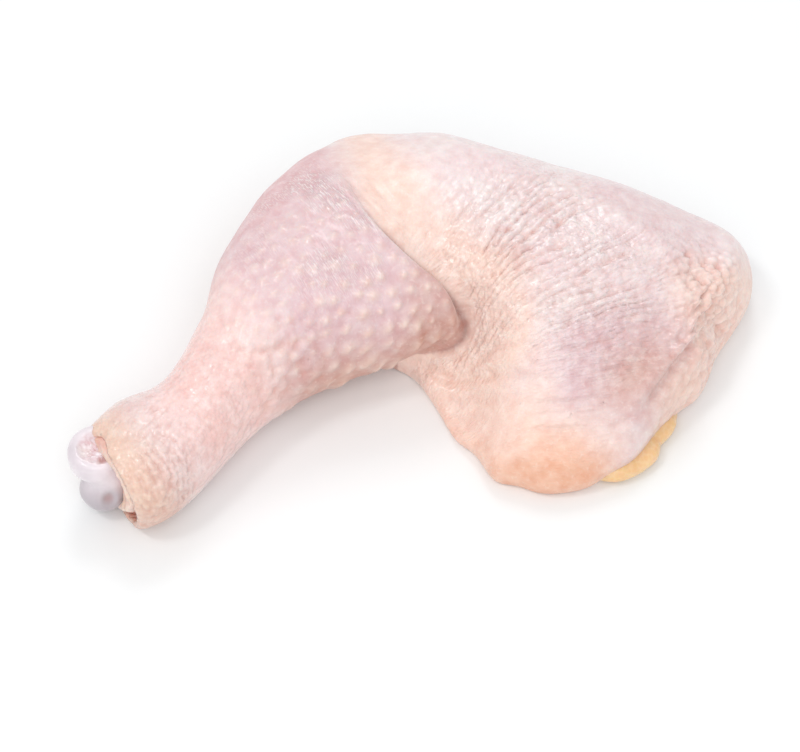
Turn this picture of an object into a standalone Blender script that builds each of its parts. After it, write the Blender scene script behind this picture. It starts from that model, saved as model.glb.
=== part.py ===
"""Raw chicken leg quarter, skin side up: a drumstick folded against its thigh, cut at the hock and hip."""

import bmesh
import bpy
import numpy as np
from mathutils import Matrix, Vector

MM = 0.001
COLLECTION = "raw chicken leg quarter"

# Sizes are in millimetres and turns in degrees. The leg lies on z = 0, with the drumstick towards -x and -y
# and the thigh towards +x. PLAN_CENTRE is the middle of the whole outline and becomes the part's origin.
PLAN_CENTRE = (3.4, -0.2)
FLAT_DEPTH = 1.2

# Drumstick, from the cut hock to the fat end at the knee. Each row is one oval section:
# outer edge x and y, inner edge x and y, underside and top.
DRUM_SECTIONS = (
    (-84.2, -41.4, -68.8, -64.8, 0.3, 25.5),
    (-77.3, -31.6, -61.5, -61.5, 0.0, 27.3),
    (-65.0, -25.9, -53.0, -52.2, -0.5, 29.3),
    (-55.6, -8.3, -42.3, -38.0, -1.2, 33.8),
    (-52.3, 7.4, -29.5, -27.4, -1.2, 38.5),
    (-41.4, 29.6, -15.0, -20.8, -1.2, 42.0),
    (-30.4, 43.4, -1.0, -16.5, 0.8, 43.0),
    (-23.3, 47.0, 9.6, -12.2, 7.0, 41.0),
    (-17.0, 39.0, 16.0, -7.0, 9.5, 35.5),
)
DRUM_TIP = (5.0, 17.0, 19.0)
DRUM_SQUARENESS = 2.3
# The rounding of the fat end: how full it is, and the turns from its last section to the tip.
DRUM_END_FULLNESS = 0.65
DRUM_END_TURNS = (15, 30, 45, 60, 72, 82)
DRUM_STEPS = 11
DRUM_SIDES = 96

# Thigh outline, counter-clockwise from the hip corner. Each row is x, y, height of the outermost line,
# how far in from the edge its round shoulder reaches, and the height of the roll along the edge.
THIGH_OUTLINE = (
    (94.7, 13.5, 8.0, 11.0, 4.0),
    (92.9, 25.4, 9.0, 13.0, 3.0),
    (82.0, 35.0, 10.0, 17.0, 0.0),
    (63.0, 45.2, 11.5, 23.0, 0.0),
    (42.0, 51.2, 12.5, 27.0, 0.0),
    (19.5, 57.0, 12.5, 28.0, 0.0),
    (-3.0, 64.0, 12.5, 28.0, 0.0),
    (-18.5, 58.2, 12.5, 28.0, 0.0),
    (-30.0, 44.0, 10.5, 26.0, 0.0),
    (-27.0, 10.0, 9.0, 21.0, 0.0),
    (-12.0, -5.0, 5.5, 12.0, 0.0),
    (0.0, -12.4, 4.0, 7.0, 0.0),
    (5.6, -20.7, 3.5, 5.0, 0.0),
    (11.2, -32.2, 3.5, 5.0, 0.0),
    (17.0, -37.5, 3.5, 5.0, 0.0),
    (21.9, -45.8, 3.8, 5.0, 0.5),
    (28.0, -47.2, 3.8, 5.0, 0.8),
    (35.0, -49.8, 4.0, 5.0, 1.0),
    (45.5, -48.6, 4.5, 5.5, 1.0),
    (51.5, -45.5, 6.5, 6.0, 1.0),
    (59.2, -41.2, 8.0, 6.0, 1.5),
    (65.8, -32.2, 8.5, 6.0, 2.0),
    (72.3, -25.6, 7.8, 6.5, 2.5),
    (78.8, -19.5, 7.0, 7.0, 3.0),
    (84.0, -7.2, 6.5, 9.0, 4.0),
    (90.3, 2.6, 7.5, 10.0, 4.0),
)
THIGH_CENTRE = (32.0, 3.0)
THIGH_STEPS = 9
THIGH_RINGS = 60
THIGH_FIRST_RING = 0.06
THIGH_CROWDING = 1.7
ROLL_FROM_EDGE = 6.0
ROLL_WIDTH = 5.0

# Mounds that make the thigh's upper side: middle x and y, half length and width, turn, height, power.
THIGH_BASE = 8.0
THIGH_MOUNDS = (
    (20.0, 15.0, 64.0, 47.0, -20.0, 30.5, 1.9),
    (84.0, 14.0, 24.0, 28.0, 20.0, 7.0, 1.2),
    (-8.0, 34.0, 28.0, 26.0, 40.0, 4.0, 1.2),
    (15.0, -15.0, 16.0, 8.0, -52.0, -6.0, 1.0),
    (1.0, -16.0, 25.0, 14.0, -48.0, -19.5, 1.7),
    (14.0, -33.0, 15.0, 11.0, -45.0, -4.0, 1.2),
)

# Middle and half sizes of the round knee that joins the drumstick and the thigh.
KNEE_FORM = ((-13.0, 41.6, 17.8), (16.0, 14.5, 16.7))

# The crease where the drumstick lies on the thigh: x, y and how deep the skin dips there. The dip fades from
# the line within CREASE_REACH on the thigh's side and is short on the drumstick's side.
CREASE = (
    (-22.0, 36.0, 0.0),
    (-19.4, 31.0, 0.1),
    (-13.3, 16.6, 0.6),
    (-6.7, 7.2, 1.4),
    (2.5, -1.0, 2.0),
    (8.6, -5.5, 2.4),
    (12.4, -9.3, 2.4),
    (13.0, -12.4, 2.0),
    (10.0, -14.6, 1.2),
    (3.0, -17.2, 0.0),
)
CREASE_STEPS = 4
CREASE_REACH = 5.0
CREASE_REACH_ON_DRUM = 1.4
CREASE_FROM_Z = 12.0
CREASE_TO_Z = 20.0

# Folds pressed into the skin: from x and y, to x and y, depth and half width.
FOLDS = (
    (12.0, -12.0, 42.0, 6.0, 1.0, 2.4),
    (13.0, -17.0, 46.0, -3.0, 1.1, 2.4),
    (12.0, -22.0, 44.0, -14.0, 0.9, 2.2),
    (50.0, -12.0, 78.0, 4.0, 0.8, 2.4),
    (54.0, -22.0, 78.0, -8.0, 0.9, 2.4),
    (60.0, -34.0, 80.0, -6.0, 1.1, 2.4),
    (80.0, -2.0, 84.0, 22.0, 1.0, 2.6),
    (20.0, -36.0, 46.0, -34.0, 0.8, 2.4),
)

# Goose bumps on the drumstick: spacing in a row, rows' spacing as a share of it, turn, half width, height.
BUMP_SPACING = 6.0
BUMP_ROWS = 0.87
BUMP_TURN = 46.0
BUMP_HALF_WIDTH = 1.9
BUMP_HEIGHT = 0.7
# The stretch of the leg that has them in x, and the line past which they fade towards the thigh.
BUMP_FROM_X = -52.0
BUMP_TO_X = 8.0
BUMP_FADE = 12.0
BUMP_LIMIT_Y = 26.0
BUMP_LIMIT_SLOPE = -0.8
BUMP_LIMIT_FADE = 14.0

# The hock, where the shank was cut through: middle of the opening and the direction it faces.
# The pieces in it are placed by three distances: out of the opening, across it towards the inner side, up.
HOCK = (-76.3, -51.8, 12.8)
HOCK_TURN = 217.0
SOCKET_HALF = (9.6, 9.8)
SOCKET_DEPTH = 6.5
MEAT_PROUD = 0.8
GAP = 0.35
# Knuckle: middle and half sizes of each round form, then the bone's radius, place and depth.
KNUCKLE_FORMS = (
    ((1.3, -6.2, 5.6), (6.9, 6.6, 5.2)),
    ((2.3, -2.6, -4.7), (6.2, 6.2, 5.7)),
    ((1.0, -4.0, 0.4), (5.6, 5.8, 6.0)),
)
BONE_RADIUS = 4.6
BONE_MIDDLE = (-3.2, -0.6)
BONE_DEPTH = 5.5
KNUCKLE_SEGMENTS = 32
KNUCKLE_RINGS = 20
PLUG_SEGMENTS = 40

# Fat that looks out under the thigh's edge: x, y, half width and height along its middle line.
FAT_SECTIONS = (
    (44.0, -39.0, 2.0, 3.0),
    (50.0, -39.8, 5.5, 5.0),
    (55.5, -39.0, 6.3, 6.0),
    (60.2, -35.9, 5.8, 6.3),
    (62.4, -32.2, 4.5, 5.9),
    (65.4, -27.8, 5.4, 6.1),
    (67.8, -22.0, 4.0, 5.0),
    (69.5, -16.5, 1.8, 3.0),
)
FAT_SIDES = 16
FAT_STEPS = 4
FAT_SQUARENESS = 2.2

# Size of the skin's first faces, the number of its last ones, and how it is smoothed: everywhere, then more
# at the knee.
VOXEL = 1.5
SKIN_TRIANGLES = 8600
SMOOTH_ROUNDS = 7
SMOOTH_WEIGHT = 0.4
KNEE = (-16.0, 40.0)
KNEE_REACH = 20.0
KNEE_FADE = 1.3
KNEE_ROUNDS = 60
KNEE_WEIGHT = 0.6
CUTTER_MARGIN = 0.1
KNUCKLE_VOXEL = 0.8
KNUCKLE_TRIANGLES = 640
KNUCKLE_ROUNDS = 6
KNUCKLE_WEIGHT = 0.5

# Base colour and roughness of each piece.
SKIN = ((0.80, 0.62, 0.56), 0.42)
CARTILAGE = ((0.76, 0.72, 0.78), 0.30)
MEAT = ((0.72, 0.38, 0.30), 0.40)
FAT = ((0.86, 0.68, 0.40), 0.38)


def smooth_rows(rows, steps, closed=False):
    """Rows of numbers joined by a smooth curve: Catmull-Rom cubics through every row, steps to a span."""
    rows = np.array(rows, float)
    if closed:
        padded = np.concatenate([rows[-1:], rows, rows[:2]])
    else:
        padded = np.concatenate([2 * rows[:1] - rows[1:2], rows, 2 * rows[-1:] - rows[-2:-1]])
    t = np.linspace(0, 1, steps, endpoint=False)[None, :, None]
    a, b, c, d = (padded[k : len(padded) - 3 + k][:, None] for k in range(4))
    bend = t**2 * (2 * a - 5 * b + 4 * c - d) / 2 + t**3 * (3 * b - a - 3 * c + d) / 2
    curve = (b + t * (c - a) / 2 + bend).reshape(-1, rows.shape[1])
    return curve if closed else np.concatenate([curve, rows[-1:]])


def oval(sides, power):
    """Cosine and sine round an oval whose corners fill out as power grows past 2."""
    angles = np.linspace(0, 2 * np.pi, sides, endpoint=False)
    cosines = np.cos(angles)
    sines = np.sin(angles)
    full = 2 / power
    return np.sign(cosines) * np.abs(cosines) ** full, np.sign(sines) * np.abs(sines) ** full


def drumstick_rings():
    """Oval rings between the two edges of each section, then rings that shrink to the fat end's tip."""
    rows = smooth_rows(DRUM_SECTIONS, DRUM_STEPS)
    across, up = oval(DRUM_SIDES, DRUM_SQUARENESS)
    outer, inner = rows[:, 0:2], rows[:, 2:4]
    low, top = rows[:, 4:5], rows[:, 5:6]
    rings = np.empty((len(rows), DRUM_SIDES, 3))
    middle, half = (outer + inner) / 2, (inner - outer) / 2
    rings[:, :, :2] = middle[:, None] + half[:, None] * across[None, :, None]
    rings[:, :, 2] = (low + top) / 2 + (top - low) / 2 * up[None]
    last = rings[-1]
    end = last.mean(axis=0)
    turns = np.radians(DRUM_END_TURNS)[:, None, None]
    caps = end + (last - end) * np.cos(turns) ** DRUM_END_FULLNESS + (DRUM_TIP - end) * np.sin(turns)
    return np.concatenate([rings, caps])


def mound(x, y, centre_x, centre_y, half_length, half_width, turn, height, steepness):
    """A round hill: height times exp of minus the squared elliptical radius to the steepness's power."""
    angle = np.radians(turn)
    along = (x - centre_x) * np.cos(angle) + (y - centre_y) * np.sin(angle)
    across = (y - centre_y) * np.cos(angle) - (x - centre_x) * np.sin(angle)
    return height * np.exp(-(((along / half_length) ** 2 + (across / half_width) ** 2) ** steepness))


def thigh_rings():
    """Rings from the underside's middle out to the edge and back over the top, shrunk from the outline."""
    outline = smooth_rows(THIGH_OUTLINE, THIGH_STEPS, closed=True)
    centre = np.array(THIGH_CENTRE)
    edge, shoulder, roll = outline[:, 2], outline[:, 3], outline[:, 4]
    reach = np.linalg.norm(outline[:, :2] - centre, axis=1)
    outward = 1 - (1 - np.linspace(THIGH_FIRST_RING, 1, THIGH_RINGS // 2)) ** THIGH_CROWDING
    rings = []
    for fraction in outward:
        plan = centre + (outline[:, :2] - centre) * fraction
        inset = np.clip((1 - fraction) * reach / edge, 0, 1)
        height = edge - (edge + FLAT_DEPTH) * np.sqrt(1 - (1 - inset) ** 2)
        rings.append(np.column_stack([plan, height]))
    for fraction in outward[-2::-1]:
        plan = centre + (outline[:, :2] - centre) * fraction
        distance = (1 - fraction) * reach
        inset = np.clip(distance / shoulder, 0, 1)
        top = THIGH_BASE + sum(mound(plan[:, 0], plan[:, 1], *row) for row in THIGH_MOUNDS)
        top += roll * np.exp(-(((distance - ROLL_FROM_EDGE) / ROLL_WIDTH) ** 2))
        height = edge + (top - edge) * np.sqrt(1 - (1 - inset) ** 2)
        rings.append(np.column_stack([plan, height]))
    return np.array(rings)


def fat_rings(grow):
    """Oval rings along the fat's middle line, grow larger all round."""
    rows = smooth_rows(FAT_SECTIONS, FAT_STEPS)
    across, up = oval(FAT_SIDES, FAT_SQUARENESS)
    along = np.gradient(rows[:, :2], axis=0)
    along /= np.linalg.norm(along, axis=1)[:, None]
    side = np.column_stack([along[:, 1], -along[:, 0]])
    rings = np.empty((len(rows), FAT_SIDES, 3))
    half_width = rows[:, 2:3] + grow
    half_height = rows[:, 3:4] / 2 + grow
    rings[:, :, :2] = rows[:, None, :2] + side[:, None] * (half_width * across[None])[:, :, None]
    rings[:, :, 2] = rows[:, 3:4] / 2 + half_height * up[None]
    rings[0, :, :2] -= along[0] * grow
    rings[-1, :, :2] += along[-1] * grow
    return rings


def add_loft(mesh, rings):
    """Adds a closed skin over rings of equal point counts, with a fan of triangles at each end."""
    verts = [[mesh.verts.new(point) for point in ring] for ring in rings.tolist()]
    sides = len(verts[0])
    faces = []
    for lower, upper in zip(verts, verts[1:]):
        for k in range(sides):
            n = (k + 1) % sides
            faces.append(mesh.faces.new((lower[k], lower[n], upper[n], upper[k])))
    for ring in (verts[0], verts[-1]):
        pole = mesh.verts.new(sum((v.co for v in ring), Vector()) / sides)
        for k in range(sides):
            faces.append(mesh.faces.new((ring[k], ring[(k + 1) % sides], pole)))
    bmesh.ops.recalc_face_normals(mesh, faces=faces)


def hock_frame():
    """The matrix that takes out, across and up distances at the hock to the drawing's x, y and z."""
    return Matrix.Translation(HOCK) @ Matrix.Rotation(np.radians(HOCK_TURN), 4, "Z")


def add_ellipsoid(mesh, place, half, grow):
    """Adds an ellipsoid with these half sizes, grow larger all round."""
    size = Matrix.Diagonal((half[0] + grow, half[1] + grow, half[2] + grow, 1))
    bmesh.ops.create_uvsphere(
        mesh,
        u_segments=KNUCKLE_SEGMENTS,
        v_segments=KNUCKLE_RINGS,
        radius=1,
        matrix=place @ size,
    )


def add_knuckle(mesh, grow):
    """Adds the round forms of the shank bone's end and the bone behind them, grow larger all round."""
    for middle, half in KNUCKLE_FORMS:
        add_ellipsoid(mesh, hock_frame() @ Matrix.Translation(middle), half, grow)
    length = BONE_DEPTH + grow
    middle = Matrix.Translation((-length / 2, *BONE_MIDDLE)) @ Matrix.Rotation(np.radians(90), 4, "Y")
    radius = BONE_RADIUS + grow
    bmesh.ops.create_cone(
        mesh,
        cap_ends=True,
        segments=KNUCKLE_SEGMENTS,
        radius1=radius,
        radius2=radius,
        depth=length,
        matrix=hock_frame() @ middle,
    )


def add_plug(mesh, grow, proud):
    """Adds an oval plug that fills the hock's socket, grow larger all round, proud beyond the opening."""
    half_across, half_up = SOCKET_HALF
    size = Matrix.Diagonal((half_across - GAP + grow, half_up - GAP + grow, 1, 1))
    low = -(SOCKET_DEPTH - GAP + grow)
    place = Matrix.Translation(((low + proud) / 2, 0, 0)) @ Matrix.Rotation(np.radians(90), 4, "Y")
    turned = Matrix.Rotation(np.radians(90), 4, "Z")
    bmesh.ops.create_cone(
        mesh,
        cap_ends=True,
        segments=PLUG_SEGMENTS,
        radius1=1,
        radius2=1,
        depth=proud - low,
        matrix=hock_frame() @ place @ turned @ size,
    )


def add_object(name, mesh, collection):
    """Puts a bmesh, in millimetres on the drawing, into the scene in metres about PLAN_CENTRE."""
    bmesh.ops.translate(mesh, verts=mesh.verts, vec=(-PLAN_CENTRE[0], -PLAN_CENTRE[1], 0))
    bmesh.ops.scale(mesh, verts=mesh.verts, vec=(MM, MM, MM))
    data = bpy.data.meshes.new(name)
    mesh.to_mesh(data)
    mesh.free()
    obj = bpy.data.objects.new(name, data)
    collection.objects.link(obj)
    return obj


def add_cutter(name, mesh):
    """Puts a bmesh into the cutters' collection, out of renders."""
    obj = add_object(name, mesh, cutters)
    obj.hide_render = True
    obj.display_type = "WIRE"
    return obj


def apply_modifiers(obj):
    """Replaces the object's mesh by its evaluated one."""
    bpy.context.view_layer.update()
    data = bpy.data.meshes.new_from_object(obj.evaluated_get(bpy.context.evaluated_depsgraph_get()))
    obj.modifiers.clear()
    obj.data = data


def remesh(obj, voxel):
    """Joins the object's overlapping shells into one even skin of quads."""
    modifier = obj.modifiers.new("one skin", "REMESH")
    modifier.mode = "VOXEL"
    modifier.voxel_size = voxel * MM
    apply_modifiers(obj)


def thin_out(obj, triangles):
    """Brings the object to about this many triangles, most of them where it curves."""
    obj.data.calc_loop_triangles()
    modifier = obj.modifiers.new("fewer faces", "DECIMATE")
    modifier.ratio = triangles / len(obj.data.loop_triangles)
    modifier.use_collapse_triangulate = True
    apply_modifiers(obj)


def points_of(obj):
    """The object's points in the drawing's millimetres."""
    points = np.empty(len(obj.data.vertices) * 3)
    obj.data.vertices.foreach_get("co", points)
    return points.reshape(-1, 3) / MM + (*PLAN_CENTRE, 0)


def set_points(obj, points):
    """Writes points in the drawing's millimetres back to the object."""
    obj.data.vertices.foreach_set("co", ((points - (*PLAN_CENTRE, 0)) * MM).ravel())
    obj.data.update()


def relax(obj, rounds, weights):
    """Moves each point towards the mean of its neighbours, by its weight, a number of times."""
    edges = np.empty(len(obj.data.edges) * 2, np.int64)
    obj.data.edges.foreach_get("vertices", edges)
    start, end = edges.reshape(-1, 2).T
    points = points_of(obj)
    count = np.bincount(edges, minlength=len(points))[:, None]
    for _ in range(rounds):
        total = np.zeros_like(points)
        for axis in range(3):
            total[:, axis] += np.bincount(start, points[end, axis], len(points))
            total[:, axis] += np.bincount(end, points[start, axis], len(points))
        points += weights[:, None] * (total / count - points)
    set_points(obj, points)


def crease_depth(x, y, z):
    """How deep the crease dips at each place, by the distance from the nearest stretch of its line."""
    line = smooth_rows(CREASE, CREASE_STEPS)
    nearest = np.full(len(x), np.inf)
    depth = np.zeros(len(x))
    for (x0, y0, from_dip), (x1, y1, to_dip) in zip(line[:-1], line[1:]):
        run = np.array((x1 - x0, y1 - y0))
        along = np.clip(((x - x0) * run[0] + (y - y0) * run[1]) / (run @ run), 0, 1)
        away_x, away_y = x - x0 - along * run[0], y - y0 - along * run[1]
        distance = np.hypot(away_x, away_y)
        on_thigh = run[0] * away_y > run[1] * away_x
        reach = np.where(on_thigh, CREASE_REACH, CREASE_REACH_ON_DRUM)
        dip = (from_dip + along * (to_dip - from_dip)) * np.exp(-distance / reach)
        depth = np.where(distance < nearest, dip, depth)
        nearest = np.minimum(nearest, distance)
    return depth * np.clip((z - CREASE_FROM_Z) / (CREASE_TO_Z - CREASE_FROM_Z), 0, 1)


def fold_depth(x, y):
    """How deep the folds press at each place: a soft groove along each fold's line, fading to its ends."""
    depth = np.zeros_like(x)
    for x0, y0, x1, y1, deep, half_width in FOLDS:
        length = np.hypot(x1 - x0, y1 - y0)
        along = ((x - x0) * (x1 - x0) + (y - y0) * (y1 - y0)) / length**2
        away = ((y - y0) * (x1 - x0) - (x - x0) * (y1 - y0)) / length
        fade = np.clip(1 - (2 * along - 1) ** 2, 0, 1)
        depth += deep * fade * np.exp(-((away / half_width) ** 2))
    return depth


def bump_height(x, y):
    """Height of the goose bumps: round bumps on a staggered grid turned to run along the drumstick."""
    turn = np.radians(BUMP_TURN)
    along = (x * np.cos(turn) + y * np.sin(turn)) / BUMP_SPACING
    across = (y * np.cos(turn) - x * np.sin(turn)) / (BUMP_SPACING * BUMP_ROWS)
    row = np.round(across)
    along = along + 0.5 * (row % 2)
    nearest = np.hypot(along - np.round(along), (across - row) * BUMP_ROWS) * BUMP_SPACING
    inside = np.clip((x - BUMP_FROM_X) / BUMP_FADE, 0, 1) * np.clip((BUMP_TO_X - x) / BUMP_FADE, 0, 1)
    on_drum = np.clip((BUMP_LIMIT_Y + BUMP_LIMIT_SLOPE * x - y) / BUMP_LIMIT_FADE, 0, 1)
    return BUMP_HEIGHT * inside * on_drum * np.exp(-((nearest / BUMP_HALF_WIDTH) ** 2))


def press_relief(obj):
    """Moves the upper skin along its normals: out at the goose bumps, in at the crease and the folds."""
    normals = np.empty(len(obj.data.vertices) * 3)
    obj.data.vertex_normals.foreach_get("vector", normals)
    normals = normals.reshape(-1, 3)
    points = points_of(obj)
    x, y, z = points.T
    facing_up = np.clip(normals[:, 2] * 2, 0, 1)
    relief = bump_height(x, y) - fold_depth(x, y) - crease_depth(x, y, z)
    points += normals * (relief * facing_up)[:, None]
    set_points(obj, points)


def settle(obj):
    """Flattens what is below the floor onto it, so that the leg rests on flat skin."""
    points = points_of(obj)
    points[:, 2] = np.maximum(points[:, 2], 0)
    set_points(obj, points)


def cut(obj, cutter):
    """Takes the cutter's shape out of the object."""
    modifier = obj.modifiers.new(cutter.name, "BOOLEAN")
    modifier.operation = "DIFFERENCE"
    modifier.object = cutter


def give_material(obj, name, finish):
    """Gives the object its own material with this colour and roughness."""
    material = bpy.data.materials.new(name)
    material.use_nodes = True
    shader = material.node_tree.nodes["Principled BSDF"]
    shader.inputs["Base Color"].default_value = (*finish[0], 1)
    shader.inputs["Roughness"].default_value = finish[1]
    shader.inputs["Metallic"].default_value = 0
    obj.data.materials.clear()
    obj.data.materials.append(material)
    obj.data.shade_smooth()


def make_leg():
    """The skin-covered flesh: drumstick and thigh grown into one, folded, bumped and set down flat."""
    mesh = bmesh.new()
    add_loft(mesh, drumstick_rings())
    add_loft(mesh, thigh_rings())
    add_ellipsoid(mesh, Matrix.Translation(KNEE_FORM[0]), KNEE_FORM[1], 0)
    leg = add_object("leg_quarter", mesh, parts)
    remesh(leg, VOXEL)
    points = points_of(leg)
    relax(leg, SMOOTH_ROUNDS, np.full(len(points), SMOOTH_WEIGHT))
    points = points_of(leg)
    from_knee = np.hypot(points[:, 0] - KNEE[0], points[:, 1] - KNEE[1]) / KNEE_REACH
    relax(leg, KNEE_ROUNDS, KNEE_WEIGHT * np.clip(KNEE_FADE - from_knee, 0, 1))
    press_relief(leg)
    settle(leg)
    thin_out(leg, SKIN_TRIANGLES)
    settle(leg)
    give_material(leg, "skin", SKIN)
    return leg


def make_knuckle():
    """The smooth cartilage end of the shank bone."""
    mesh = bmesh.new()
    add_knuckle(mesh, 0)
    knuckle = add_object("knuckle", mesh, parts)
    remesh(knuckle, KNUCKLE_VOXEL)
    relax(knuckle, KNUCKLE_ROUNDS, np.full(len(knuckle.data.vertices), KNUCKLE_WEIGHT))
    thin_out(knuckle, KNUCKLE_TRIANGLES)
    give_material(knuckle, "cartilage", CARTILAGE)


def make_shank_meat():
    """The meat and membrane that fill the cut end round the bone."""
    mesh = bmesh.new()
    add_plug(mesh, 0, MEAT_PROUD)
    meat = add_object("shank_meat", mesh, parts)
    give_material(meat, "shank meat", MEAT)
    return meat


def make_fat():
    """The soft yellow fat under the thigh's edge."""
    mesh = bmesh.new()
    add_loft(mesh, fat_rings(0))
    fat = add_object("thigh_fat", mesh, parts)
    settle(fat)
    give_material(fat, "fat", FAT)


def knuckle_cutter():
    """The knuckle with its clearance, as one closed shape."""
    mesh = bmesh.new()
    add_knuckle(mesh, GAP + CUTTER_MARGIN)
    cutter = add_cutter("knuckle_room", mesh)
    remesh(cutter, KNUCKLE_VOXEL)
    thin_out(cutter, KNUCKLE_TRIANGLES)
    return cutter


def socket_cutter():
    """The hollow in the cut end that the meat sits in."""
    mesh = bmesh.new()
    add_plug(mesh, GAP, SOCKET_DEPTH)
    return add_cutter("socket_room", mesh)


def fat_cutter():
    """The fat with its clearance."""
    mesh = bmesh.new()
    add_loft(mesh, fat_rings(GAP))
    return add_cutter("fat_room", mesh)


for leftover in list(bpy.data.objects):
    bpy.data.objects.remove(leftover, do_unlink=True)
parts = bpy.data.collections.new(COLLECTION)
cutters = bpy.data.collections.new("cutters")
bpy.context.scene.collection.children.link(parts)
bpy.context.scene.collection.children.link(cutters)

leg_quarter = make_leg()
make_knuckle()
shank_meat = make_shank_meat()
make_fat()
knuckle_room = knuckle_cutter()
cut(leg_quarter, socket_cutter())
cut(leg_quarter, knuckle_room)
cut(leg_quarter, fat_cutter())
cut(shank_meat, knuckle_room)
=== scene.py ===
"""Raw chicken leg quarter on a pale floor: skin, bare knuckle, cut shank and fat under the thigh's edge."""

import bmesh
import bpy
import numpy as np
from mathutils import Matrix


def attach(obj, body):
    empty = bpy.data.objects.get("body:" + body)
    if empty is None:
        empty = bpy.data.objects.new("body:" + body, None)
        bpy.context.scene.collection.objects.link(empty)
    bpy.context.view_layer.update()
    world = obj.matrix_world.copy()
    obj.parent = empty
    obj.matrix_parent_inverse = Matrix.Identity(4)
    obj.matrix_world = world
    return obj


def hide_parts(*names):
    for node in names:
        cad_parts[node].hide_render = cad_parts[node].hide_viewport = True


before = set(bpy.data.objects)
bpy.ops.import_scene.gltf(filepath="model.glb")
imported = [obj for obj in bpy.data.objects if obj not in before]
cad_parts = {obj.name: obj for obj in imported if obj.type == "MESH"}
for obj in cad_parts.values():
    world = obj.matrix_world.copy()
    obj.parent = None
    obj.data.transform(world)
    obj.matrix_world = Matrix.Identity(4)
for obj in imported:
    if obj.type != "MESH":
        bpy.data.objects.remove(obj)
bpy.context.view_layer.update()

# ---------------------------------------------------------------------------------------------------------
# Skin. The leg's own raw skin with the meat inside it: one sheet that is drawn tight over the drumstick,
# folds into the crease at the knee and spreads over the thigh to its loose trimmed edge. It was cut off
# with the shank at the hock, where a thin rim of it stands round the bone.

MM = 0.001
# All sizes are in millimetres on the drawing that the solids were made from, whose outline has this middle.
PLAN_CENTRE = (3.4, -0.2)

# Drumstick sections from the hock to the knee: outer edge x and y, inner edge x and y, underside and top.
DRUM_SECTIONS = (
    (-84.2, -41.4, -68.8, -64.8, 0.3, 25.5),
    (-77.3, -31.6, -61.5, -61.5, 0.0, 27.3),
    (-65.0, -25.9, -53.0, -52.2, -0.5, 29.3),
    (-55.6, -8.3, -42.3, -38.0, -1.2, 33.8),
    (-52.3, 7.4, -29.5, -27.4, -1.2, 38.5),
    (-41.4, 29.6, -15.0, -20.8, -1.2, 42.0),
    (-30.4, 43.4, -1.0, -16.5, 0.8, 43.0),
    (-23.3, 47.0, 9.6, -12.2, 7.0, 41.0),
    (-17.0, 39.0, 16.0, -7.0, 9.5, 35.5),
)
DRUM_TIP = (5.0, 17.0, 19.0)
DRUM_SQUARENESS = 2.3
DRUM_END_FULLNESS = 0.65
DRUM_END_TURNS = (15, 30, 45, 60, 72, 82)
DRUM_STEPS = 11
DRUM_SIDES = 96

# Thigh outline from the hip corner: x, y, height of the outermost line, reach of its shoulder and height of
# the roll beside it.
THIGH_OUTLINE = (
    (94.7, 13.5, 8.0, 11.0, 4.0),
    (92.9, 25.4, 9.0, 13.0, 3.0),
    (82.0, 35.0, 10.0, 17.0, 0.0),
    (63.0, 45.2, 11.5, 23.0, 0.0),
    (42.0, 51.2, 12.5, 27.0, 0.0),
    (19.5, 57.0, 12.5, 28.0, 0.0),
    (-3.0, 64.0, 12.5, 28.0, 0.0),
    (-18.5, 58.2, 12.5, 28.0, 0.0),
    (-30.0, 44.0, 10.5, 26.0, 0.0),
    (-27.0, 10.0, 9.0, 21.0, 0.0),
    (-12.0, -5.0, 5.5, 12.0, 0.0),
    (0.0, -12.4, 4.0, 7.0, 0.0),
    (5.6, -20.7, 3.5, 5.0, 0.0),
    (11.2, -32.2, 3.5, 5.0, 0.0),
    (17.0, -37.5, 3.5, 5.0, 0.0),
    (21.9, -45.8, 3.8, 5.0, 0.5),
    (28.0, -47.2, 3.8, 5.0, 0.8),
    (35.0, -49.8, 4.0, 5.0, 1.0),
    (45.5, -48.6, 4.5, 5.5, 1.0),
    (51.5, -45.5, 6.5, 6.0, 1.0),
    (59.2, -41.2, 8.0, 6.0, 1.5),
    (65.8, -32.2, 8.5, 6.0, 2.0),
    (72.3, -25.6, 7.8, 6.5, 2.5),
    (78.8, -19.5, 7.0, 7.0, 3.0),
    (84.0, -7.2, 6.5, 9.0, 4.0),
    (90.3, 2.6, 7.5, 10.0, 4.0),
)
THIGH_CENTRE = (32.0, 3.0)
THIGH_STEPS = 9
THIGH_RINGS = 60
THIGH_CROWDING = 1.7
FLAT_DEPTH = 1.2
ROLL_FROM_EDGE = 6.0
ROLL_WIDTH = 5.0
THIGH_BASE = 8.0
# Mounds of the thigh's upper side: middle x and y, half length, half width, turn, height, steepness.
THIGH_MOUNDS = (
    (20.0, 15.0, 64.0, 47.0, -20.0, 30.5, 1.9),
    (84.0, 14.0, 24.0, 28.0, 20.0, 7.0, 1.2),
    (-8.0, 34.0, 28.0, 26.0, 40.0, 4.0, 1.2),
    (15.0, -15.0, 16.0, 8.0, -52.0, -6.0, 1.0),
    (1.0, -16.0, 25.0, 14.0, -48.0, -19.5, 1.7),
    (14.0, -33.0, 15.0, 11.0, -45.0, -4.0, 1.2),
)
# Middle and half sizes of the round knee that joins the two.
KNEE_FORM = ((-13.0, 41.6, 17.8), (16.0, 14.5, 16.7))

# The body is joined and smoothed at the coarse pitch, then given its fine pitch for the relief. The knee is
# smoothed more, most of all at its middle.
COARSE_PITCH = 1.2
FINE_PITCH = 0.45
SMOOTH_ROUNDS = 8
SMOOTH_SHARE = 0.4
KNEE = (-16.0, 40.0)
KNEE_REACH = 20.0
KNEE_ROUNDS = 90
KNEE_SHARE = 0.6
FINE_ROUNDS = 3
FINE_SHARE = 0.5
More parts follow.
